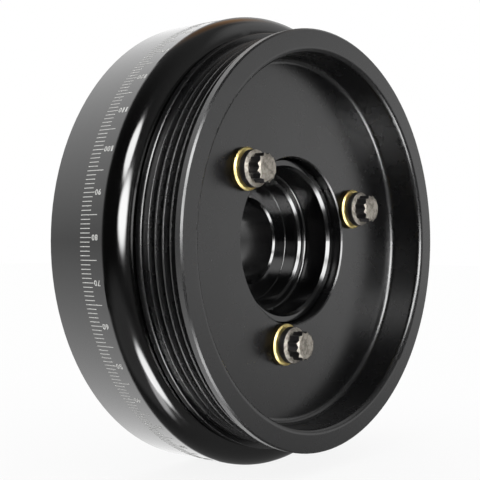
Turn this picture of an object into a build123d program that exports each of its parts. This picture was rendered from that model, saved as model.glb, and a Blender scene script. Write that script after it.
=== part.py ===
from build123d import *
import math
import os

# Elastomer-ring harmonic balancer for a V8 crankshaft, with a bolted multi-rib belt pulley, in mm.
# The crank axis is Y. The belt side faces -Y, the engine lies towards +Y, and +Z is up.
# The origin is on the crank axis, in the plane of the hub's rear end.
# Outlines are (radius, y) corners, with an optional third value that rounds the corner.
# Angles run from +X towards +Z.

# Clock
zero_mark_angle = 259.24  # where the keyway, the zero of the degree scale and one pulley bolt line up

# Crank hub
crank_bore_diameter = 34.9
crank_bore_chamfer = 0.7
keyway_width = 4.76
keyway_depth = 2.4
sleeve_diameter = 54.0  # runs in the timing cover's oil seal
sleeve_lead_in = 3.5
sleeve_lead_in_depth = 1.0
barrel_diameter = 66.0
barrel_setback = 1.0  # its rear face lies inside the shells' bore
barrel_chamfer = 0.6
hub_flange_thickness = 11.5
hub_edge_chamfer = 0.5
bolt_seat_diameter = 50.8  # takes the crank bolt's washer
bolt_seat_depth = 7.75  # from the mouth's floor
bolt_seat_chamfer = 0.9
mouth_step = 3.8  # wider than the bolt seat, on the radius
mouth_depth = 12.2  # from the pilot's face
mouth_chamfer = 1.1
mouth_floor_round = 1.2
pilot_height = 1.2  # a low ring round the mouth, which centres the pulley
pilot_chamfer = 0.8

# Steps outwards from the barrel, each one a distance on the radius
bolt_circle_step = 8.275  # from the barrel to the circle of the hub bolts and the pulley bolts
flange_margin = 10.725  # from that circle to the flange's edge
pocket_wall = 7.0  # from the flange to the core that the inertia ring goes round
chamber_height = 24.85  # from the core to the cup's outer wall
shell_wall = 6.0

# Shells: a cup with the degree scale outside, and a cover behind it
shell_setback = 25.0  # from the hub's rear end to the shells' rear face
shell_width = 35.1
shell_step = 0.8  # from the shells' front face to the pulley seat
nose_round = 8.0
shell_edge_chamfer = 0.5
front_web_thickness = 8.0
cover_thickness = 8.0
outer_core_thickness = 8.0
pocket_edge_chamfer = 0.6
register_clearance = 0.05
cover_clearance = 0.08

# Inertia ring
ring_side_clearance = 0.8
ring_bore_clearance = 1.0
ring_rim_clearance = 0.95
ring_chamfer = 1.0

# Elastomer rings
face_groove_depth = 4.0
face_groove_width = 6.0
face_groove_inset = 4.5  # from the inertia ring's bore to the middle of the first groove
face_groove_spacing = 10.0
rim_groove_depth = 3.2
rim_groove_width = 4.4
rim_groove_spacing = 7.2
elastomer_side_room = 0.35
elastomer_chamfer = 1.2
elastomer_seat_gap = 0.05

# Cover screws, flat head with a hex socket
cover_screw_count = 9
cover_screw_inset = 9.0  # from the core's outside to the screw circle
cover_screw_diameter = 6.2
cover_screw_tip_wall = 1.9  # from the screw's tip to the floor of the flange's pocket
cover_screw_tip_room = 0.5
cover_screw_head_diameter = 12.4
cover_screw_head_angle = 82.0
cover_screw_head_land = 0.5
cover_screw_socket = 3.97
cover_screw_socket_depth = 2.6
cover_screw_recess = 0.3

# Hub bolts, socket cap screws from behind into the hub flange
hub_bolts_per_gap = 2  # between two pulley bolts
hub_bolt_diameter = 7.9
hub_bolt_tip_wall = 3.2  # from the bolt's tip to the pulley seat
hub_bolt_tip_room = 1.0
hub_bolt_head_diameter = 11.9
hub_bolt_head_height = 7.9
hub_bolt_head_chamfer = 0.8
hub_bolt_socket = 6.35
hub_bolt_socket_depth = 4.0
hub_bolt_counterbore_clearance = 0.5
hub_bolt_head_recess = 0.6

# Pulley: a dished cup with V grooves round its rim
pulley_bolt_count = 3
web_thickness = 5.5
eye_margin = 8.075  # from the bolt circle in to the eye
eye_chamfer = 0.5
eye_back_chamfer = 0.2
pilot_clearance = 0.1
crest_diameter = 160.1
front_flange_rise = 1.65  # above the crests, on the radius
front_flange_chamfer = 0.6
rear_flange_rise = 2.25
rear_flange_land = 2.8
rear_flange_shoulder = 1.2  # level with the crests, between the last groove and the flange
rear_flange_chamfer = 0.3
rim_wall = 4.58  # from the grooves' roots to the recess
rim_overhang = 0.3  # how far the rim reaches behind the web
rear_lip_step = 1.5
recess_floor_round = 2.5
recess_lip_round = 2.2
groove_count = 4
groove_pitch = 3.56
groove_angle = 40.0
groove_crest_flat = 0.6
groove_crest_round = 0.2
groove_root_flat = 0.8
first_groove_offset = 4.93  # from the pulley's front face

# Pulley bolts with a 12-point head on a flange, and their thick washers
pulley_bolt_diameter = 9.52
pulley_bolt_tip_room = 0.55  # from the bolt's tip to the flange's back
pulley_hole_clearance = 0.19
head_flange_diameter = 14.3
head_flange_edge = 3.2
head_flange_cone = 1.0
head_height = 9.0
head_across_flats = 9.53
head_point_trim = 0.1
head_bevel_width = 1.3
head_bevel_depth = 0.7
washer_diameter = 16.4
washer_thickness = 2.4
washer_chamfer = 0.6

# Fits and shank ends shared by the fasteners
thread_clearance = 0.05
shank_clearance = 0.25
tip_chamfer = 0.8

# Radii, from the barrel outwards
barrel_radius = barrel_diameter / 2
barrel_hole_radius = barrel_radius + register_clearance
bolt_circle_radius = barrel_radius + bolt_circle_step
flange_radius = bolt_circle_radius + flange_margin
core_radius = flange_radius + pocket_wall
chamber_radius = core_radius + chamber_height
shell_radius = chamber_radius + shell_wall
cover_screw_circle_radius = core_radius - cover_screw_inset
ring_inner_radius = core_radius + ring_bore_clearance
ring_outer_radius = chamber_radius - ring_rim_clearance

# Stations along the crank axis, from the back to the front
shell_back = -shell_setback
barrel_back = shell_back - barrel_setback
hub_bolt_seat = shell_back - hub_bolt_head_recess - hub_bolt_head_height
cover_front = shell_back - cover_thickness
shell_front = shell_back - shell_width
chamber_front = shell_front + front_web_thickness
pulley_seat = shell_front - shell_step
flange_back = pulley_seat + hub_flange_thickness
core_joint = flange_back + outer_core_thickness
cover_screw_top = shell_back - cover_screw_recess
cover_screw_tip = flange_back + cover_screw_tip_wall
hub_bolt_tip = pulley_seat + hub_bolt_tip_wall
pilot_front = pulley_seat - pilot_height
pulley_bolt_tip = flange_back - pulley_bolt_tip_room
web_front = pulley_seat - web_thickness
pulley_bolt_seat = web_front - washer_thickness
ring_front = chamber_front + ring_side_clearance
ring_back = cover_front - ring_side_clearance
ring_middle = (ring_front + ring_back) / 2

# The pulley's rim, from the groove form
groove_slope = math.tan(math.radians(groove_angle / 2))
groove_half_mouth = (groove_pitch - groove_crest_flat) / 2
crest_radius = crest_diameter / 2
root_radius = crest_radius - (groove_half_mouth - groove_root_flat / 2) / groove_slope
recess_radius = root_radius - rim_wall
front_flange_radius = crest_radius + front_flange_rise
rear_flange_radius = crest_radius + rear_flange_rise
groove_span = groove_pitch * (groove_count - 1)
rear_flange_start = first_groove_offset + groove_span + groove_half_mouth + rear_flange_shoulder
rim_back = pulley_seat + rim_overhang
pulley_front = rim_back - rear_flange_start - rear_flange_land

pulley_bolt_angles = [zero_mark_angle + 360 / pulley_bolt_count * i for i in range(pulley_bolt_count)]
hub_bolt_step = 360 / (pulley_bolt_count * (hub_bolts_per_gap + 1))
hub_bolt_angles = [
    start + hub_bolt_step * (i + 1) for start in pulley_bolt_angles for i in range(hub_bolts_per_gap)
]
cover_screw_step = 360 / cover_screw_count
cover_screw_angles = [
    zero_mark_angle + hub_bolt_step / 2 + cover_screw_step * i for i in range(cover_screw_count)
]


def turned(*corners):
    """The solid that an outline of (radius, y[, round]) corners sweeps round the crank axis."""
    points = [corner[:2] for corner in corners]
    rounds = [corner[2] if len(corner) > 2 else 0 for corner in corners]
    return revolve(make_face(FilletPolyline(*points, radius=rounds, close=True)), Axis.Y)


def plug(radius, low, high):
    """A cylinder on the crank axis between two stations."""
    return turned((0, low), (radius, low), (radius, high), (0, high))


def placed(shape, circle_radius, angle):
    """The shape moved from the crank axis out to a bolt circle, at an angle."""
    return Rot(0, -angle, 0) * Pos(circle_radius, 0, 0) * shape


def around(shape, circle_radius, angles):
    """A copy of the shape at each angle of a bolt circle."""
    return [placed(shape, circle_radius, angle) for angle in angles]


def drilled(body, tool, circle_radius, angles):
    """The body with the tool cut out at each angle of a bolt circle."""
    for cutter in around(tool, circle_radius, angles):
        body -= cutter
    return body


def hex_socket(across_flats, depth, mouth):
    """A hexagonal recess that runs forwards from the station of its mouth."""
    face = Plane(origin=(0, mouth, 0), x_dir=(1, 0, 0), z_dir=(0, -1, 0)) * RegularPolygon(
        across_flats / 2, 6, major_radius=False
    )
    return extrude(face, depth)


def crank_hub():
    """Steel hub: seal sleeve, barrel in the shells' bore, front flange, pilot and stepped bolt recess."""
    bore = crank_bore_diameter / 2
    sleeve = sleeve_diameter / 2
    seat = bolt_seat_diameter / 2
    mouth = seat + mouth_step
    mouth_floor = pilot_front + mouth_depth
    pilot = bolt_circle_radius - eye_margin - pilot_clearance
    seat_floor = mouth_floor + bolt_seat_depth
    hub = turned(
        (bore + crank_bore_chamfer, 0),
        (sleeve - sleeve_lead_in_depth, 0),
        (sleeve, -sleeve_lead_in),
        (sleeve, barrel_back),
        (barrel_radius - barrel_chamfer, barrel_back),
        (barrel_radius, barrel_back - barrel_chamfer),
        (barrel_radius, flange_back),
        (flange_radius - hub_edge_chamfer, flange_back),
        (flange_radius, flange_back - hub_edge_chamfer),
        (flange_radius, pulley_seat + hub_edge_chamfer),
        (flange_radius - hub_edge_chamfer, pulley_seat),
        (pilot, pulley_seat),
        (pilot, pilot_front + pilot_chamfer),
        (pilot - pilot_chamfer, pilot_front),
        (mouth + mouth_chamfer, pilot_front),
        (mouth, pilot_front + mouth_chamfer),
        (mouth, mouth_floor, mouth_floor_round),
        (seat + bolt_seat_chamfer, mouth_floor),
        (seat, mouth_floor + bolt_seat_chamfer),
        (seat, seat_floor),
        (bore + crank_bore_chamfer, seat_floor),
        (bore, seat_floor + crank_bore_chamfer),
        (bore, -crank_bore_chamfer),
    )
    keyway_reach = bore + keyway_depth
    keyway = Pos(keyway_reach / 2, seat_floor / 2, 0) * Box(keyway_reach, -seat_floor, keyway_width)
    hub -= Rot(0, -zero_mark_angle, 0) * keyway
    pulley_thread = plug(pulley_bolt_diameter / 2 + thread_clearance, pulley_seat, flange_back)
    hub = drilled(hub, pulley_thread, bolt_circle_radius, pulley_bolt_angles)
    hub_thread = plug(hub_bolt_diameter / 2 + thread_clearance, hub_bolt_tip - hub_bolt_tip_room, flange_back)
    return drilled(hub, hub_thread, bolt_circle_radius, hub_bolt_angles)


def outer_shell():
    """Aluminium cup: outer wall, round nose, front web with the hub's pocket, and half of the core."""
    pocket = flange_radius + register_clearance
    shell = turned(
        (barrel_hole_radius, core_joint),
        (core_radius, core_joint),
        (core_radius, chamber_front),
        (chamber_radius, chamber_front),
        (chamber_radius, shell_back - shell_edge_chamfer),
        (chamber_radius + shell_edge_chamfer, shell_back),
        (shell_radius - shell_edge_chamfer, shell_back),
        (shell_radius, shell_back - shell_edge_chamfer),
        (shell_radius, shell_front, nose_round),
        (pocket + pocket_edge_chamfer, shell_front),
        (pocket, shell_front + pocket_edge_chamfer),
        (pocket, flange_back),
        (barrel_hole_radius, flange_back),
    )
    passage = plug(hub_bolt_diameter / 2 + shank_clearance, flange_back, core_joint)
    shell = drilled(shell, passage, bolt_circle_radius, hub_bolt_angles)
    thread_end = cover_screw_tip - cover_screw_tip_room
    screw_thread = plug(cover_screw_diameter / 2 + thread_clearance, thread_end, core_joint)
    return drilled(shell, screw_thread, cover_screw_circle_radius, cover_screw_angles)


def flat_head(clearance):
    """The flat head's outline, grown by a clearance: head and shank radii, land end and cone end."""
    head = cover_screw_head_diameter / 2 + clearance
    shank = cover_screw_diameter / 2 + clearance
    land_end = cover_screw_top - cover_screw_head_land
    cone_end = land_end - (head - shank) / math.tan(math.radians(cover_screw_head_angle / 2))
    return head, shank, land_end, cone_end


def inner_shell():
    """Aluminium cover behind the ring, with the other half of the core."""
    cover = chamber_radius - cover_clearance
    shell = turned(
        (barrel_hole_radius, core_joint),
        (barrel_hole_radius, shell_back - shell_edge_chamfer),
        (barrel_hole_radius + shell_edge_chamfer, shell_back),
        (cover - shell_edge_chamfer, shell_back),
        (cover, shell_back - shell_edge_chamfer),
        (cover, cover_front),
        (core_radius, cover_front),
        (core_radius, core_joint),
    )
    passage = plug(hub_bolt_diameter / 2 + shank_clearance, core_joint, shell_back)
    counterbore_radius = hub_bolt_head_diameter / 2 + hub_bolt_counterbore_clearance
    passage += plug(counterbore_radius, hub_bolt_seat, shell_back)
    shell = drilled(shell, passage, bolt_circle_radius, hub_bolt_angles)
    head, shank, land_end, cone_end = flat_head(thread_clearance)
    screw_hole = turned(
        (0, core_joint),
        (shank, core_joint),
        (shank, cone_end),
        (head, land_end),
        (head, shell_back),
        (0, shell_back),
    )
    return drilled(shell, screw_hole, cover_screw_circle_radius, cover_screw_angles)


def face_groove_middles():
    """The radii of the two grooves in each face of the inertia ring, inner one first."""
    first = ring_inner_radius + face_groove_inset
    return first, first + face_groove_spacing


def rim_groove_middles():
    """The stations of the two grooves round the inertia ring, front one first."""
    return ring_middle - rim_groove_spacing / 2, ring_middle + rim_groove_spacing / 2


def inertia_ring():
    """Steel ring with two grooves in each face and two round its rim."""
    ring = turned(
        (ring_inner_radius + ring_chamfer, ring_front),
        (ring_outer_radius - ring_chamfer, ring_front),
        (ring_outer_radius, ring_front + ring_chamfer),
        (ring_outer_radius, ring_back - ring_chamfer),
        (ring_outer_radius - ring_chamfer, ring_back),
        (ring_inner_radius + ring_chamfer, ring_back),
        (ring_inner_radius, ring_back - ring_chamfer),
        (ring_inner_radius, ring_front + ring_chamfer),
    )
    for middle in face_groove_middles():
        near = middle - face_groove_width / 2
        far = middle + face_groove_width / 2
        for face, floor in (
            (ring_front, ring_front + face_groove_depth),
            (ring_back, ring_back - face_groove_depth),
        ):
            ring -= turned((near, face), (far, face), (far, floor), (near, floor))
    for middle in rim_groove_middles():
        low = middle - rim_groove_width / 2
        high = middle + rim_groove_width / 2
        floor = ring_outer_radius - rim_groove_depth
        ring -= turned((floor, low), (ring_outer_radius, low), (ring_outer_radius, high), (floor, high))
    return ring


def elastomer(inner, outer, low, high):
    """A squeezed elastomer ring: a rectangle with cut corners, swept round the axis."""
    cut = elastomer_chamfer
    return turned(
        (inner + cut, low),
        (outer - cut, low),
        (outer, low + cut),
        (outer, high - cut),
        (outer - cut, high),
        (inner + cut, high),
        (inner, high - cut),
        (inner, low + cut),
    )


def face_elastomer(middle, wall, floor):
    """An elastomer ring between a face groove's floor and the shell wall opposite."""
    half_width = face_groove_width / 2 - elastomer_side_room
    low, high = sorted((wall, floor))
    return elastomer(middle - half_width, middle + half_width, low, high)


def rim_elastomer(middle):
    """An elastomer ring between a rim groove and the cup's outer wall."""
    half_width = rim_groove_width / 2 - elastomer_side_room
    inner = ring_outer_radius - rim_groove_depth + elastomer_seat_gap
    return elastomer(inner, chamber_radius - elastomer_seat_gap, middle - half_width, middle + half_width)


def cover_screw():
    """Flat head socket screw on the crank axis, ready to be placed."""
    head, shank, land_end, cone_end = flat_head(0)
    screw = turned(
        (0, cover_screw_tip),
        (shank - tip_chamfer, cover_screw_tip),
        (shank, cover_screw_tip + tip_chamfer),
        (shank, cone_end),
        (head, land_end),
        (head, cover_screw_top),
        (0, cover_screw_top),
    )
    return screw - hex_socket(cover_screw_socket, cover_screw_socket_depth, cover_screw_top)


def hub_bolt():
    """Socket cap screw on the crank axis, head towards the engine."""
    top = hub_bolt_seat + hub_bolt_head_height
    shank = hub_bolt_diameter / 2
    head = hub_bolt_head_diameter / 2
    bolt = turned(
        (0, hub_bolt_tip),
        (shank - tip_chamfer, hub_bolt_tip),
        (shank, hub_bolt_tip + tip_chamfer),
        (shank, hub_bolt_seat),
        (head, hub_bolt_seat),
        (head, top - hub_bolt_head_chamfer),
        (head - hub_bolt_head_chamfer, top),
        (0, top),
    )
    return bolt - hex_socket(hub_bolt_socket, hub_bolt_socket_depth, top)


def groove_outline():
    """The rim's outside from the front flange to the foot of the rear one: V grooves with flat crests."""
    first_middle = pulley_front + first_groove_offset
    corners = [(front_flange_radius, first_middle - groove_half_mouth - front_flange_rise * groove_slope)]
    for i in range(groove_count):
        middle = first_middle + groove_pitch * i
        if i > 0:
            corners.append((crest_radius, middle - groove_half_mouth, groove_crest_round))
        corners.append((root_radius, middle - groove_root_flat / 2))
        corners.append((root_radius, middle + groove_root_flat / 2))
        corners.append((crest_radius, middle + groove_half_mouth, groove_crest_round))
    corners.append((crest_radius, pulley_front + rear_flange_start))
    return corners


def pulley():
    """Aluminium belt pulley, dished so that its web meets the hub flange near the back."""
    eye = bolt_circle_radius - eye_margin
    rear_lip = recess_radius + rear_lip_step
    body = turned(
        (eye, pulley_seat - eye_back_chamfer),
        (eye, web_front + eye_chamfer),
        (eye + eye_chamfer, web_front),
        (recess_radius, web_front, recess_floor_round),
        (recess_radius, pulley_front, recess_lip_round),
        (front_flange_radius - front_flange_chamfer, pulley_front),
        (front_flange_radius, pulley_front + front_flange_chamfer),
        *groove_outline(),
        (rear_flange_radius - rear_flange_chamfer, pulley_front + rear_flange_start),
        (rear_flange_radius, pulley_front + rear_flange_start + rear_flange_chamfer),
        (rear_flange_radius, rim_back - rear_flange_chamfer),
        (rear_flange_radius - rear_flange_chamfer, rim_back),
        (rear_lip, rim_back),
        (rear_lip, pulley_seat),
        (eye + eye_back_chamfer, pulley_seat),
    )
    hole = plug(pulley_bolt_diameter / 2 + pulley_hole_clearance, web_front, pulley_seat)
    return drilled(body, hole, bolt_circle_radius, pulley_bolt_angles)


def pulley_washer():
    """Thick washer on the pulley's web, chamfered on the head's side."""
    bore = pulley_bolt_diameter / 2 + pulley_hole_clearance
    outside = washer_diameter / 2
    return turned(
        (bore, web_front),
        (outside, web_front),
        (outside, pulley_bolt_seat + washer_chamfer),
        (outside - washer_chamfer, pulley_bolt_seat),
        (bore, pulley_bolt_seat),
    )


def pulley_bolt():
    """Flange bolt with a 12-point head, on the crank axis, head towards the front."""
    edge = pulley_bolt_seat - head_flange_edge
    cone = edge - head_flange_cone
    top = pulley_bolt_seat - head_height
    shank = pulley_bolt_diameter / 2
    points = head_across_flats / 2 / math.cos(math.radians(30)) - head_point_trim
    shaft = turned(
        (0, cone),
        (points, cone),
        (head_flange_diameter / 2, edge),
        (head_flange_diameter / 2, pulley_bolt_seat),
        (shank, pulley_bolt_seat),
        (shank, pulley_bolt_tip - tip_chamfer),
        (shank - tip_chamfer, pulley_bolt_tip),
        (0, pulley_bolt_tip),
    )
    star = RegularPolygon(head_across_flats / 2, 6, major_radius=False)
    star += Rot(0, 0, 30) * star
    head = extrude(Plane(origin=(0, cone, 0), x_dir=(1, 0, 0), z_dir=(0, -1, 0)) * star, cone - top)
    blank = turned(
        (0, top),
        (points - head_bevel_width, top),
        (points, top + head_bevel_depth),
        (points, cone),
        (0, cone),
    )
    return shaft + (head & blank)


inner_groove, outer_groove = face_groove_middles()
front_rim_groove, back_rim_groove = rim_groove_middles()
front_floor = ring_front + face_groove_depth
back_floor = ring_back - face_groove_depth

nodes = {
    "crank_hub": crank_hub(),
    "outer_shell": outer_shell(),
    "inner_shell": inner_shell(),
    "inertia_ring": inertia_ring(),
    "front_inner_elastomer": face_elastomer(inner_groove, chamber_front, front_floor),
    "front_outer_elastomer": face_elastomer(outer_groove, chamber_front, front_floor),
    "back_inner_elastomer": face_elastomer(inner_groove, cover_front, back_floor),
    "back_outer_elastomer": face_elastomer(outer_groove, cover_front, back_floor),
    "front_rim_elastomer": rim_elastomer(front_rim_groove),
    "back_rim_elastomer": rim_elastomer(back_rim_groove),
    "cover_screws": Compound(children=around(cover_screw(), cover_screw_circle_radius, cover_screw_angles)),
    "pulley": pulley(),
}
for family, shape, angles in (
    ("hub_bolt", hub_bolt(), hub_bolt_angles),
    ("pulley_bolt", pulley_bolt(), pulley_bolt_angles),
    ("pulley_washer", pulley_washer(), pulley_bolt_angles),
):
    for number, copy in enumerate(around(shape, bolt_circle_radius, angles), 1):
        nodes[f"{family}_{number}"] = copy

os.makedirs("parts", exist_ok=True)
for name, shape in nodes.items():
    export_step(shape, f"parts/{name}.step")
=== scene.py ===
import bpy
import bmesh
import math
from mathutils import Matrix, Vector


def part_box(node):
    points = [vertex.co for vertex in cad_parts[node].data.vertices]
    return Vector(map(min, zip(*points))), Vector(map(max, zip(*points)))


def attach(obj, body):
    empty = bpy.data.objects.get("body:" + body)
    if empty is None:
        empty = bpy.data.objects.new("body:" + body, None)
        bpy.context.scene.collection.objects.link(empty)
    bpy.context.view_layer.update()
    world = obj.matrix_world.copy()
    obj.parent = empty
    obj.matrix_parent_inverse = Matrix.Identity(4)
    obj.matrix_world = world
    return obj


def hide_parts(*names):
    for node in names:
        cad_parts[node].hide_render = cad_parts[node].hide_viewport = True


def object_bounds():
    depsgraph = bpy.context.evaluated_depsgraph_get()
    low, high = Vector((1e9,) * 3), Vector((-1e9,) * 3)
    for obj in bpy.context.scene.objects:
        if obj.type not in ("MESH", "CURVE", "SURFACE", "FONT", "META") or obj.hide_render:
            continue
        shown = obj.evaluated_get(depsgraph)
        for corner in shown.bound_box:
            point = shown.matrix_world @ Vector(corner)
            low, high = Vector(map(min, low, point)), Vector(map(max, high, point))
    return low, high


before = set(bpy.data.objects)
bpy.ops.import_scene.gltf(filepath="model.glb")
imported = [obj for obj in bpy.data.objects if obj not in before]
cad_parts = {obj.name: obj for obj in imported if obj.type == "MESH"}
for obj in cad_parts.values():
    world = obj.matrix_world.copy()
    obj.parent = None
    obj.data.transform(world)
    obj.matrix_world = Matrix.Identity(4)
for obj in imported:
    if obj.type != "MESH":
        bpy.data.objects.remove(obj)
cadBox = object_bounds()
mm = 0.001

# The crank axis is Y, and the belt side faces -Y. Angles round it run from +X towards +Z.


def linearColour(code):  # sRGB hex to the linear values that shaders take
    parts = [int(code[i:i + 2], 16) / 255 for i in (1, 3, 5)]
    return [p / 12.92 if p <= 0.04045 else ((p + 0.055) / 1.055) ** 2.4 for p in parts] + [1]


def addNode(tree, kind, inputs=None, **settings):
    node = tree.nodes.new(kind)
    for name, value in settings.items():
        setattr(node, name, value)
    for name, value in (inputs or {}).items():
        if isinstance(value, bpy.types.NodeSocket):
            tree.links.new(value, node.inputs[name])
        else:
            node.inputs[name].default_value = value
    return node


def newMaterial(name):
    material = bpy.data.materials.new(name)
    material.use_nodes = True
    material.node_tree.nodes.clear()
    return material, material.node_tree


def finishMaterial(tree, shader):
    addNode(tree, "ShaderNodeOutputMaterial", {"Surface": shader.outputs[0]})


def turnedCoordinates(tree, objectPoint):  # (radius, y), the same all along a lathe's cut
    split = addNode(tree, "ShaderNodeSeparateXYZ", {0: objectPoint})
    flat = addNode(
        tree, "ShaderNodeCombineXYZ", {"X": split.outputs["X"], "Y": split.outputs["Z"]},
    )
    radius = addNode(tree, "ShaderNodeVectorMath", {0: flat.outputs[0]}, operation="LENGTH")
    return addNode(
        tree, "ShaderNodeCombineXYZ", {"X": radius.outputs["Value"], "Y": split.outputs["Y"]},
    )


# Sizes in the finishes are in millimetres. A lathe's rings are 0.1 to 0.2 mm apart on the real
# metal. They are drawn two to five times as far apart, so that they show.

# Lathe-turned aluminium with a black dyed anodised skin: a clear hard layer over black, with
# faint rings from the tool and a little cloudiness from handling.
drumFinish = {
    "colour": "#070707", "roughness": 0.12, "ringPitch": 0.5, "ringDepth": 0.002, "cloud": 18,
}
pulleyFinish = {
    "colour": "#0b0b0c", "roughness": 0.27, "ringPitch": 0.45, "ringDepth": 0.0022, "cloud": 14,
}

# Turned steel with an oiled black oxide skin, which is glossier on the hub than on the screws.
hubFinish = {
    "colour": "#070708", "roughness": 0.16, "ringPitch": 0.35, "ringDepth": 0.0012, "cloud": 9,
}
screwFinish = {
    "colour": "#0c0c0d", "roughness": 0.3, "ringPitch": 0.5, "ringDepth": 0.001, "cloud": 2,
}

# Both skins are clear over black, and reflect a little more than plain glass. Their roughness
# drifts by this much with the cloudiness.
blackSkin = {"ior": 1.65, "smoother": 0.01, "rougher": 0.015}


def blackSkinnedMetal(name, finish):
    material, tree = newMaterial(name)
    point = addNode(tree, "ShaderNodeTexCoord").outputs["Object"]
    turned = turnedCoordinates(tree, point).outputs[0]
    rings = addNode(
        tree, "ShaderNodeTexNoise",
        {"Vector": turned, "Scale": 1 / (finish["ringPitch"] * mm), "Detail": 2,
         "Roughness": 0.6},
    )
    cloud = addNode(
        tree, "ShaderNodeTexNoise",
        {"Vector": point, "Scale": 1 / (finish["cloud"] * mm), "Detail": 4, "Roughness": 0.55},
    )
    rough = addNode(
        tree, "ShaderNodeMapRange",
        {"Value": cloud.outputs["Fac"], "From Min": 0.3, "From Max": 0.7,
         "To Min": finish["roughness"] - blackSkin["smoother"],
         "To Max": finish["roughness"] + blackSkin["rougher"]},
    )
    bump = addNode(
        tree, "ShaderNodeBump",
        {"Height": rings.outputs["Fac"], "Strength": 1, "Distance": finish["ringDepth"] * mm},
    )
    shader = addNode(
        tree, "ShaderNodeBsdfPrincipled",
        {"Base Color": linearColour(finish["colour"]), "Roughness": rough.outputs[0],
         "IOR": blackSkin["ior"], "Normal": bump.outputs[0]},
    )
    finishMaterial(tree, shader)
    return material


# Bolts of forged alloy steel, tumbled: grey steel in patchy tones, with small pits. The twelve
# wrenching sides and the flange's edge, which look across the axis, are painted dark as shade.
# The pits and patches are drawn about twice their real size, so that they show. frontFrom and
# frontTo say how squarely a face looks out of the pulley where the painted shade gives way to grey.
headFinish = {
    "tones": ((0.38, "#827d75"), (0.58, "#b3ada3")), "patch": 1.6,
    "shadedSideColour": "#414042", "frontFrom": 0.5, "frontTo": 0.9,
    "pit": 0.8, "pitDepth": 0.03, "roughness": 0.45, "smoother": 0.08, "rougher": 0.12,
}


def tumbledSteel(name, finish):
    material, tree = newMaterial(name)
    place = addNode(tree, "ShaderNodeTexCoord")
    pits = addNode(
        tree, "ShaderNodeTexNoise",
        {"Vector": place.outputs["Object"], "Scale": 1 / (finish["pit"] * mm), "Detail": 4,
         "Roughness": 0.6},
    )
    patches = addNode(
        tree, "ShaderNodeTexNoise",
        {"Vector": place.outputs["Object"], "Scale": 1 / (finish["patch"] * mm), "Detail": 4,
         "Roughness": 0.6},
    )
    tone = addNode(tree, "ShaderNodeValToRGB", {"Fac": patches.outputs["Fac"]})
    for element, (position, colour) in zip(tone.color_ramp.elements, finish["tones"]):
        element.position = position
        element.color = linearColour(colour)
    facing = addNode(tree, "ShaderNodeSeparateXYZ", {0: place.outputs["Normal"]})
    # Painted shade: faces that look across the axis take the dark colour, and faces that look out
    # of the pulley take the grey tones.
    frontFacing = addNode(
        tree, "ShaderNodeMapRange",
        {"Value": facing.outputs["Y"], "From Min": -finish["frontFrom"],
         "From Max": -finish["frontTo"]},
        interpolation_type="SMOOTHSTEP",
    )
    colour = addNode(
        tree, "ShaderNodeMix",
        {"Factor": frontFacing.outputs[0], "A": linearColour(finish["shadedSideColour"]),
         "B": tone.outputs["Color"]},
        data_type="RGBA",
    )
    rough = addNode(
        tree, "ShaderNodeMapRange",
        {"Value": pits.outputs["Fac"], "To Min": finish["roughness"] - finish["smoother"],
         "To Max": finish["roughness"] + finish["rougher"]},
    )
    bump = addNode(
        tree, "ShaderNodeBump",
        {"Height": pits.outputs["Fac"], "Strength": 1, "Distance": finish["pitDepth"] * mm},
    )
    shader = addNode(
        tree, "ShaderNodeBsdfPrincipled",
        {"Base Color": colour.outputs["Result"], "Metallic": 1, "Roughness": rough.outputs[0],
         "Normal": bump.outputs[0]},
    )
    finishMaterial(tree, shader)
    return material


# Steel washers, stamped, with zinc plate and yellow chromate: pale gold that drifts in hue over
# a few millimetres. Their sides, which look across the axis, are painted deep bronze as shade.
zincFinish = {
    "tones": ((0.35, "#e6d896"), (0.65, "#c8ad6d")), "drift": 4, "driftDepth": 0.03,
    "edge": "#40371f", "shadeSideFrom": 0.12, "shadeSideTo": 0.45, "roughness": 0.5,
}


def yellowZincSteel(name, finish):
    material, tree = newMaterial(name)
    place = addNode(tree, "ShaderNodeTexCoord")
    drift = addNode(
        tree, "ShaderNodeTexNoise",
        {"Vector": place.outputs["Object"], "Scale": 1 / (finish["drift"] * mm), "Detail": 3,
         "Roughness": 0.5},
    )
    tone = addNode(tree, "ShaderNodeValToRGB", {"Fac": drift.outputs["Fac"]})
    for element, (position, colour) in zip(tone.color_ramp.elements, finish["tones"]):
        element.position = position
        element.color = linearColour(colour)
    facing = addNode(tree, "ShaderNodeSeparateXYZ", {0: place.outputs["Normal"]})
    # Painted shade: faces that look across the axis take the dark bronze edge colour, and faces
    # that look out of the pulley take the pale gold.
    paintedShadeSide = addNode(
        tree, "ShaderNodeMapRange",
        {"Value": facing.outputs["Y"], "From Min": -finish["shadeSideFrom"],
         "From Max": -finish["shadeSideTo"]},
        interpolation_type="SMOOTHSTEP",
    )
    colour = addNode(
        tree, "ShaderNodeMix",
        {"Factor": paintedShadeSide.outputs[0], "A": linearColour(finish["edge"]),
         "B": tone.outputs["Color"]},
        data_type="RGBA",
    )
    bump = addNode(
        tree, "ShaderNodeBump",
        {"Height": drift.outputs["Fac"], "Strength": 1, "Distance": finish["driftDepth"] * mm},
    )
    shader = addNode(
        tree, "ShaderNodeBsdfPrincipled",
        {"Base Color": colour.outputs["Result"], "Metallic": 1, "Roughness": finish["roughness"],
         "Normal": bump.outputs[0]},
    )
    finishMaterial(tree, shader)
    return material


# Turned bare steel: the lathe's rings on clean grey metal.
ringFinish = {"colour": "#a9a6a2", "roughness": 0.32, "ringPitch": 0.4, "ringDepth": 0.004}


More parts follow.
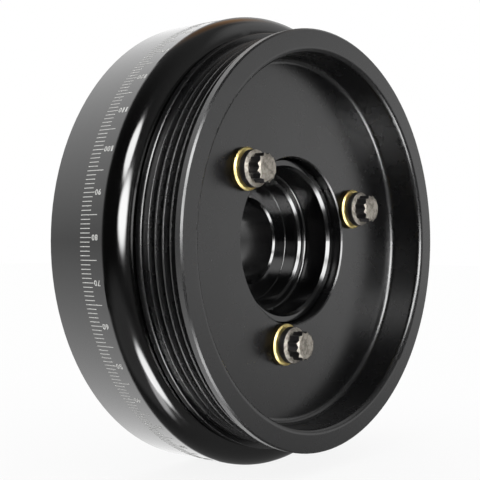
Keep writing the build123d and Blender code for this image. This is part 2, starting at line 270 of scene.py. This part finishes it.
def turnedSteel(name, finish):
    material, tree = newMaterial(name)
    point = addNode(tree, "ShaderNodeTexCoord").outputs["Object"]
    turned = turnedCoordinates(tree, point).outputs[0]
    rings = addNode(
        tree, "ShaderNodeTexNoise",
        {"Vector": turned, "Scale": 1 / (finish["ringPitch"] * mm), "Detail": 2},
    )
    bump = addNode(
        tree, "ShaderNodeBump",
        {"Height": rings.outputs["Fac"], "Distance": finish["ringDepth"] * mm},
    )
    shader = addNode(
        tree, "ShaderNodeBsdfPrincipled",
        {"Base Color": linearColour(finish["colour"]), "Metallic": 1,
         "Roughness": finish["roughness"], "Normal": bump.outputs[0]},
    )
    finishMaterial(tree, shader)
    return material


# Moulded nitrile rubber: matt and near black, with the mould's fine grain drawn coarser.
rubberFinish = {"colour": "#1e1e1f", "roughness": 0.7, "grain": 1 / 3, "grainDepth": 0.01}


def nitrileRubber(name, finish):
    material, tree = newMaterial(name)
    point = addNode(tree, "ShaderNodeTexCoord").outputs["Object"]
    grain = addNode(
        tree, "ShaderNodeTexNoise",
        {"Vector": point, "Scale": 1 / (finish["grain"] * mm), "Detail": 3},
    )
    bump = addNode(
        tree, "ShaderNodeBump",
        {"Height": grain.outputs["Fac"], "Distance": finish["grainDepth"] * mm},
    )
    shader = addNode(
        tree, "ShaderNodeBsdfPrincipled",
        {"Base Color": linearColour(finish["colour"]), "Roughness": finish["roughness"],
         "Normal": bump.outputs[0]},
    )
    finishMaterial(tree, shader)
    return material


# Laser marks in the anodised skin: bleached, matt and pale grey, with a grain from the burnt
# spots, which are drawn coarser than life.
markFinish = {
    "tones": ((0.3, "#a8a8a6"), (0.6, "#dededb")), "grain": 0.25, "grainDepth": 0.01,
    "roughness": 0.75,
}


def laserMark(name, finish):
    material, tree = newMaterial(name)
    point = addNode(tree, "ShaderNodeTexCoord").outputs["Object"]
    grain = addNode(
        tree, "ShaderNodeTexNoise",
        {"Vector": point, "Scale": 1 / (finish["grain"] * mm), "Detail": 3},
    )
    tone = addNode(tree, "ShaderNodeValToRGB", {"Fac": grain.outputs["Fac"]})
    for element, (position, colour) in zip(tone.color_ramp.elements, finish["tones"]):
        element.position = position
        element.color = linearColour(colour)
    bump = addNode(
        tree, "ShaderNodeBump",
        {"Height": grain.outputs["Fac"], "Distance": finish["grainDepth"] * mm},
    )
    shader = addNode(
        tree, "ShaderNodeBsdfPrincipled",
        {"Base Color": tone.outputs["Color"], "Roughness": finish["roughness"],
         "Normal": bump.outputs[0]},
    )
    finishMaterial(tree, shader)
    return material


print("stage: materials")
drumAnodised = blackSkinnedMetal("drumBlackAnodised", drumFinish)
pulleyAnodised = blackSkinnedMetal("pulleyBlackAnodised", pulleyFinish)
hubBlackOxide = blackSkinnedMetal("hubBlackOxide", hubFinish)
screwBlackOxide = blackSkinnedMetal("screwBlackOxide", screwFinish)
boltSteel = tumbledSteel("boltTumbledSteel", headFinish)
washerZinc = yellowZincSteel("washerYellowZinc", zincFinish)
ringSteel = turnedSteel("ringTurnedSteel", ringFinish)
rubber = nitrileRubber("nitrileRubber", rubberFinish)
scaleMark = laserMark("scaleLaserMark", markFinish)

# By a node's name, or by its name without the number. The six elastomer rings are the rest.
nodeFinish = {
    "outer_shell": drumAnodised, "inner_shell": drumAnodised, "pulley": pulleyAnodised,
    "crank_hub": hubBlackOxide, "inertia_ring": ringSteel, "cover_screws": screwBlackOxide,
    "hub_bolt": screwBlackOxide, "pulley_bolt": boltSteel, "pulley_washer": washerZinc,
}
for name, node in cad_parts.items():
    family = name.rsplit("_", 1)[0]
    finish = nodeFinish.get(name) or nodeFinish.get(family) or rubber
    for slot in node.material_slots:
        slot.material = finish


def finishPiece(name, bm, material):
    bmesh.ops.remove_doubles(bm, verts=bm.verts, dist=0.0001 * mm)
    bmesh.ops.recalc_face_normals(bm, faces=bm.faces)
    mesh = bpy.data.meshes.new(name)
    bm.to_mesh(mesh)
    bm.free()
    mesh.materials.append(material)
    piece = bpy.data.objects.new(name, mesh)
    bpy.context.scene.collection.objects.link(piece)
    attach(piece, "root")
    return piece


# The degree scale: a ring of ticks on the drum, with a number at every tenth. It starts at
# zeroAngle, and its degrees run the other way round, from +Z towards +X. The backs and fronts of
# the ticks and numbers are places along Y, and the marks stand proud by their depth.
scale = {
    "radius": 89.85 * mm, "zeroAngle": 259.24, "markDepth": 0.03 * mm,
    "tickWidth": 0.29 * mm, "tickBack": -41.35 * mm, "tickFront": -46.2 * mm,
    "fiveStep": 5, "fiveFront": -49.5 * mm, "tenStep": 10, "tenFront": -46.9 * mm,
    "numberBack": -47.2 * mm, "digitPitch": 1.6 * mm, "digitHeight": 2.05 * mm,
    "digitWidth": 1.35 * mm, "oneWidth": 0.6, "digitStroke": 0.02, "digitCurveSteps": 4,
}


def onDrum(degrees):  # turns a mark from +X round to a degree of the scale
    return Matrix.Rotation(math.radians(degrees - scale["zeroAngle"]), 4, "Y")


def degreeTicks():
    bm = bmesh.new()
    for degree in range(360):
        front = scale["tickFront"]
        if degree % scale["tenStep"] == 0:
            front = scale["tenFront"]
        elif degree % scale["fiveStep"] == 0:
            front = scale["fiveFront"]
        length = scale["tickBack"] - front
        middle = Matrix.Translation((scale["radius"], front + length / 2, 0))
        size = Matrix.Diagonal((2 * scale["markDepth"], length, scale["tickWidth"], 1))
        bmesh.ops.create_cube(bm, size=1, matrix=onDrum(degree) @ middle @ size)
    finishPiece("degree_ticks", bm, scaleMark)


def digitMesh(digit):  # one digit at its real size, centred, and thick enough to sink in the drum
    curve = bpy.data.curves.new("digit", "FONT")
    curve.body = digit
    curve.extrude = 0.5
    curve.offset = scale["digitStroke"]  # heavier strokes
    curve.resolution_u = scale["digitCurveSteps"]
    text = bpy.data.objects.new("digit", curve)
    bpy.context.scene.collection.objects.link(text)
    bpy.context.view_layer.update()
    evaluated = text.evaluated_get(bpy.context.evaluated_depsgraph_get())
    mesh = bpy.data.meshes.new_from_object(evaluated)
    bpy.data.objects.remove(text)
    low = Vector([min(v.co[i] for v in mesh.vertices) for i in range(3)])
    high = Vector([max(v.co[i] for v in mesh.vertices) for i in range(3)])
    width = scale["digitWidth"] * (scale["oneWidth"] if digit == "1" else 1)
    mesh.transform(Matrix.Translation(-(low + high) / 2))
    mesh.transform(Matrix.Diagonal((
        width / (high.x - low.x), scale["digitHeight"] / (high.y - low.y),
        2 * scale["markDepth"], 1,
    )))
    return mesh


def degreeNumbers():
    digits = {digit: digitMesh(digit) for digit in "0123456789"}
    # A number reads along +Y, faces outwards, and its top points back down the scale.
    lay = Matrix(((0, 0, 1, 0), (1, 0, 0, 0), (0, 1, 0, 0), (0, 0, 0, 1)))
    bm = bmesh.new()
    for degree in range(0, 360, scale["tenStep"]):
        for place, digit in enumerate(reversed(str(degree))):
            y = scale["numberBack"] - (place + 0.5) * scale["digitPitch"]
            mesh = digits[digit].copy()
            mesh.transform(onDrum(degree) @ Matrix.Translation((scale["radius"], y, 0)) @ lay)
            bm.from_mesh(mesh)
            bpy.data.meshes.remove(mesh)
    finishPiece("degree_numbers", bm, scaleMark)


print("stage: degree scale")
degreeTicks()
degreeNumbers()


def latheShape(bm, outline, steps):  # turns (radius, y) points once round the Y axis
    verts = [bm.verts.new((radius, y, 0)) for radius, y in outline]
    edges = [bm.edges.new(pair) for pair in zip(verts, verts[1:])]
    bmesh.ops.spin(
        bm, geom=verts + edges, cent=(0, 0, 0), axis=(0, 1, 0), angle=math.tau, steps=steps,
        use_merge=True,
    )


# The pulley's bolts: a shank, a flange with a slightly coned face, and a head with twelve points
# whose end is turned to a shallow cone with a shallow dip in it. The rises, the flange's edge and
# the head's height are from the seat, and the cone's height is from the flange's edge. The head
# starts inside the cone, by its sink.
bolt = {
    "shankRadius": 4.76 * mm, "tipChamfer": 0.8 * mm, "steps": 64,
    "seatRadius": 6.15 * mm, "seatStep": 0.35 * mm, "seatRise": 1.3 * mm,
    "flangeRadius": 7.15 * mm, "flangeEdge": 3.4 * mm, "edgeBreak": 0.3 * mm,
    "rimIn": 0.15 * mm, "rimRise": 0.06 * mm, "coneHeight": 0.65 * mm,
    "points": 12, "pointRadius": 5.65 * mm, "valleyRadius": 4.85 * mm, "sideCuts": 3,
    "headHeight": 9.0 * mm, "headSink": 0.9 * mm,
    "endRadius": 4.4 * mm, "endBevel": 0.62 * mm, "endRim": 0.35 * mm, "endDip": 0.1 * mm,
}


def raiseFace(bm, face, place):  # extrudes a face, and puts each new point where its radius says
    grown = bmesh.ops.extrude_face_region(bm, geom=[face])["geom"]
    for vert in [g for g in grown if isinstance(g, bmesh.types.BMVert)]:
        radius = math.hypot(vert.co.x, vert.co.z)
        newRadius, y = place(radius)
        vert.co = (vert.co.x * newRadius / radius, y, vert.co.z * newRadius / radius)
    return next(g for g in grown if isinstance(g, bmesh.types.BMFace))


def starHead(bm, base, top):
    ring = bmesh.ops.create_circle(
        bm, segments=2 * bolt["points"], radius=bolt["pointRadius"], cap_ends=True,
    )["verts"]
    for vert in ring[::2]:
        vert.co *= bolt["valleyRadius"] / bolt["pointRadius"]
    bmesh.ops.subdivide_edges(bm, edges=bm.edges, cuts=bolt["sideCuts"])
    bmesh.ops.rotate(bm, verts=bm.verts, matrix=Matrix.Rotation(math.radians(90), 3, "X"))
    bmesh.ops.translate(bm, verts=bm.verts, vec=(0, base, 0))
    bm.faces.ensure_lookup_table()
    endRadius = bolt["endRadius"]
    slope = bolt["endBevel"] / (bolt["pointRadius"] - endRadius)
    cone = raiseFace(bm, bm.faces[0], lambda radius: (radius, top + (radius - endRadius) * slope))
    end = raiseFace(bm, cone, lambda radius: (endRadius, top))
    raiseFace(bm, end, lambda radius: (endRadius - bolt["endRim"], top + bolt["endDip"]))
    bmesh.ops.delete(bm, geom=[cone, end], context="FACES_ONLY")  # they would stay inside


def pulleyBolt(number):
    low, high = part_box(f"pulley_washer_{number}")
    seat = low.y
    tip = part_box(f"pulley_bolt_{number}")[1].y
    edge = seat - bolt["flangeEdge"]
    cone = edge - bolt["coneHeight"]
    bm = bmesh.new()
    latheShape(bm, [
        (0, tip), (bolt["shankRadius"] - bolt["tipChamfer"], tip),
        (bolt["shankRadius"], tip - bolt["tipChamfer"]), (bolt["shankRadius"], seat),
        (bolt["seatRadius"], seat), (bolt["seatRadius"], seat - bolt["seatStep"]),
        (bolt["flangeRadius"], seat - bolt["seatRise"]),
        (bolt["flangeRadius"], edge + bolt["edgeBreak"]),
        (bolt["flangeRadius"] - bolt["rimIn"], edge - bolt["rimRise"]),
        (bolt["pointRadius"], cone), (0, cone),
    ], bolt["steps"])
    star = bmesh.new()
    starHead(star, cone + bolt["headSink"], seat - bolt["headHeight"])
    starMesh = bpy.data.meshes.new("star")
    star.to_mesh(starMesh)
    star.free()
    bm.from_mesh(starMesh)
    bpy.data.meshes.remove(starMesh)
    middle = (low + high) / 2
    bmesh.ops.translate(bm, verts=bm.verts, vec=(middle.x, 0, middle.z))
    piece = finishPiece(f"twelve_point_bolt_{number}", bm, boltSteel)
    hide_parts(f"pulley_bolt_{number}")


# A small fillet where the crank bolt's seat meets the wall of its recess.
seatFillet = {
    "radius": 25.4 * mm, "seat": -42.15 * mm, "size": 0.5 * mm, "sink": 0.02 * mm,
    "arcSteps": 6, "steps": 96,
}


def crankSeatFillet():
    size = seatFillet["size"]
    wall = seatFillet["radius"] + seatFillet["sink"]
    floor = seatFillet["seat"] + seatFillet["sink"]
    middle = (seatFillet["radius"] - size, seatFillet["seat"] - size)
    steps = seatFillet["arcSteps"]
    turns = [math.radians(90 * i / steps) for i in range(steps + 1)]
    arc = [(middle[0] + size * math.cos(t), middle[1] + size * math.sin(t)) for t in turns]
    outline = [(wall, floor), (wall, middle[1])] + arc + [(middle[0], floor), (wall, floor)]
    bm = bmesh.new()
    latheShape(bm, outline, seatFillet["steps"])
    finishPiece("crank_seat_fillet", bm, hubBlackOxide)


print("stage: bolts and fillet")
for number in (1, 2, 3):
    pulleyBolt(number)
crankSeatFillet()


# The floor is 6 m across, lies just under the drum, and is white to the camera but for the shadow.
floorPlane = {"drop": 0.15 * mm, "size": 6, "glow": 0.88, "paint": "#f4f4f4"}


def paleFloor():
    bm = bmesh.new()
    bmesh.ops.create_grid(bm, x_segments=1, y_segments=1, size=floorPlane["size"] / 2)
    mesh = bpy.data.meshes.new("floor")
    bm.to_mesh(mesh)
    bm.free()
    mesh.transform(Matrix.Translation((0, 0, cadBox[0].z - floorPlane["drop"])))
    floor = bpy.data.objects.new("floor", mesh)
    bpy.context.scene.collection.objects.link(floor)
    material, tree = newMaterial("paintedFloor")
    path = addNode(tree, "ShaderNodeLightPath")
    glowing = addNode(
        tree, "ShaderNodeMath", {0: path.outputs["Is Camera Ray"], 1: floorPlane["glow"]},
        operation="MULTIPLY",
    )
    paint = addNode(tree, "ShaderNodeBsdfDiffuse", {"Color": linearColour(floorPlane["paint"])})
    glow = addNode(tree, "ShaderNodeEmission", {"Strength": 1.0})
    seen = addNode(
        tree, "ShaderNodeMixShader",
        {0: glowing.outputs[0], 1: paint.outputs[0], 2: glow.outputs[0]},
    )
    clear = addNode(tree, "ShaderNodeBsdfTransparent")  # a reflection looks past it to the room
    mix = addNode(
        tree, "ShaderNodeMixShader",
        {0: path.outputs["Is Glossy Ray"], 1: seen.outputs[0], 2: clear.outputs[0]},
    )
    finishMaterial(tree, mix)
    mesh.materials.append(material)


# The room that the black metal reflects. An edge is a pair of shares of a direction along one
# axis, where the change starts and ends, and a level is in parts of plain white.
room = {
    "backdropEdge": (0.58, 0.645),  # along +Y, where the white backdrop behind the object begins
    "backdropLevel": (0.85, 1.9),  # level with the axis, and well above or below it
    "backdropRise": 0.68,  # along Z, where the second of those levels is reached
    "gloomEdge": (-0.8, 0.55),  # along +X, from the dark side of the room to the window side
    "gloomLevel": (0.008, 0.21),
    "warmColour": "#e6b890",
}

# Soft boxes, cards and walls round the object. "around" is degrees round from +X towards +Y,
# "above" is degrees above the axis, "wide" and "tall" are half the patch's size, and "soft" is
# the share of it that fades.
softBoxes = {
    "upperBox": {"around": 233, "above": 33.5, "wide": 18, "tall": 11, "soft": 0.16, "level": 15},
    "middleBox": {"around": 243, "above": 8.8, "wide": 21, "tall": 11.5, "soft": 0.28, "level": 16},
    "lowerBox": {"around": 257, "above": -43, "wide": 24, "tall": 9, "soft": 0.25, "level": 14},
    "lowBounce": {"around": 252, "above": -60, "wide": 18, "tall": 11, "soft": 0.4, "level": 4.5},
    "lowWall": {"around": 200, "above": -47, "wide": 60, "tall": 31, "soft": 0.35, "level": 0.32},
    "topCard": {"around": 16, "above": 40, "wide": 30, "tall": 16, "soft": 0.4, "level": 0.45},
    "highCard": {"around": 338, "above": 40, "wide": 26, "tall": 18, "soft": 0.4, "level": 0.5},
    "frontCard": {"around": 322, "above": 3, "wide": 19, "tall": 12.5, "soft": 0.45, "level": 0.82},
    "warmWall": {"around": 36, "above": 55, "wide": 28, "tall": 15, "soft": 0.5, "level": 0.35},
}

# A pale wall on the +X side. Its place and size are shares along +Y and +Z.
sideWall = {
    "around": 0.2, "above": 0.05, "wide": 0.45, "tall": 0.45, "soft": 0.4, "level": 0.55,
    "edge": (0.2, 0.6),  # along +X
}


def softPatch(tree, bearing, patch):  # 1 inside an oval of the room's wall, fading to 0 outside
    away = addNode(
        tree, "ShaderNodeVectorMath", {0: bearing, 1: (patch["around"], patch["above"], 0)},
        operation="SUBTRACT",
    )
    share = addNode(
        tree, "ShaderNodeVectorMath", {0: away.outputs[0], 1: (patch["wide"], patch["tall"], 1)},
        operation="DIVIDE",
    )
    reach = addNode(tree, "ShaderNodeVectorMath", {0: share.outputs[0]}, operation="LENGTH")
    inside = addNode(
        tree, "ShaderNodeMapRange",
        {"Value": reach.outputs["Value"], "From Min": 1 - patch["soft"],
         "From Max": 1 + patch["soft"], "To Min": 1, "To Max": 0},
        interpolation_type="SMOOTHSTEP",
    )
    return inside.outputs[0]


def studioWorld():
    world = bpy.data.worlds.new("studio")
    world.use_nodes = True
    tree = world.node_tree
    tree.nodes.clear()
    direction = addNode(tree, "ShaderNodeTexCoord").outputs["Generated"]
    split = addNode(tree, "ShaderNodeSeparateXYZ", {0: direction})
    x, y, z = (split.outputs[axis] for axis in "XYZ")

    # Degrees from 0 to 360 round the room, and from -90 to 90 above its middle.
    turn = addNode(tree, "ShaderNodeMath", {0: y, 1: x}, operation="ARCTAN2")
    signed = addNode(tree, "ShaderNodeMath", {0: turn.outputs[0]}, operation="DEGREES")
    around = addNode(tree, "ShaderNodeMath", {0: signed.outputs[0], 1: 360, 2: 0}, operation="WRAP")
    lift = addNode(tree, "ShaderNodeMath", {0: z}, operation="ARCSINE")
    above = addNode(tree, "ShaderNodeMath", {0: lift.outputs[0]}, operation="DEGREES")
    bearing = addNode(
        tree, "ShaderNodeCombineXYZ", {"X": around.outputs[0], "Y": above.outputs[0]},
    ).outputs[0]

    level = addNode(
        tree, "ShaderNodeMapRange",
        {"Value": x, "From Min": room["gloomEdge"][0], "From Max": room["gloomEdge"][1],
         "To Min": room["gloomLevel"][0], "To Max": room["gloomLevel"][1]},
        interpolation_type="SMOOTHSTEP",
    ).outputs[0]
    patches = {name: softPatch(tree, bearing, box) for name, box in softBoxes.items()}
    for name, box in softBoxes.items():
        level = addNode(
            tree, "ShaderNodeMath", {0: patches[name], 1: box["level"], 2: level},
            operation="MULTIPLY_ADD",
        ).outputs[0]
    across = addNode(tree, "ShaderNodeCombineXYZ", {"X": y, "Y": z}).outputs[0]
    beside = addNode(
        tree, "ShaderNodeMapRange",
        {"Value": x, "From Min": sideWall["edge"][0], "From Max": sideWall["edge"][1],
         "To Max": sideWall["level"]},
    )
    level = addNode(
        tree, "ShaderNodeMath",
        {0: softPatch(tree, across, sideWall), 1: beside.outputs[0], 2: level},
        operation="MULTIPLY_ADD",
    ).outputs[0]
    height = addNode(tree, "ShaderNodeMath", {0: z}, operation="ABSOLUTE")
    backdrop = addNode(
        tree, "ShaderNodeMapRange",
        {"Value": height.outputs[0], "From Max": room["backdropRise"],
         "To Min": room["backdropLevel"][0], "To Max": room["backdropLevel"][1]},
    )
    level = addNode(
        tree, "ShaderNodeMapRange",
        {"Value": y, "From Min": room["backdropEdge"][0], "From Max": room["backdropEdge"][1],
         "To Min": level, "To Max": backdrop.outputs[0]},
        interpolation_type="SMOOTHSTEP",
    ).outputs[0]
    front = addNode(
        tree, "ShaderNodeMapRange",
        {"Value": y, "From Min": room["backdropEdge"][0], "From Max": room["backdropEdge"][1],
         "To Min": 1, "To Max": 0},
    )

    # Only reflections show the room. All else is lit evenly from all round, and sees plain white.
    reflected = addNode(tree, "ShaderNodeLightPath").outputs["Is Glossy Ray"]
    strength = addNode(
        tree, "ShaderNodeMapRange", {"Value": reflected, "To Min": 1, "To Max": level},
    )
    warm = addNode(
        tree, "ShaderNodeMath", {0: patches["warmWall"], 1: front.outputs[0]},
        operation="MULTIPLY",
    )
    warm = addNode(
        tree, "ShaderNodeMath", {0: warm.outputs[0], 1: reflected}, operation="MULTIPLY",
    )
    colour = addNode(tree, "ShaderNodeValToRGB", {"Fac": warm.outputs[0]})
    colour.color_ramp.elements[0].color = linearColour("#ffffff")
    colour.color_ramp.elements[1].color = linearColour(room["warmColour"])
    background = addNode(
        tree, "ShaderNodeBackground",
        {"Color": colour.outputs[0], "Strength": strength.outputs[0]},
    )
    addNode(tree, "ShaderNodeOutputWorld", {"Surface": background.outputs[0]})
    bpy.context.scene.world = world


# The lens and sensor are in millimetres, and the shift is one pixel of the square frame.
view = {
    "lens": 75, "sensor": 36, "near": 0.01, "position": (-0.3187, -0.3063, 0.0),
    "azimuth": -49.9, "shiftY": 1 / 480,
}


def sceneCamera():
    camera = bpy.data.cameras.new("camera")
    camera.lens = view["lens"]
    camera.sensor_width = view["sensor"]
    camera.shift_y = view["shiftY"]
    camera.clip_start = view["near"]
    cameraObject = bpy.data.objects.new("camera", camera)
    cameraObject.location = view["position"]
    cameraObject.rotation_euler = (math.radians(90), 0, math.radians(view["azimuth"]))
    bpy.context.scene.collection.objects.link(cameraObject)
    bpy.context.scene.camera = cameraObject


print("stage: studio")
bpy.context.scene.view_settings.view_transform = "Standard"
paleFloor()
studioWorld()
sceneCamera()
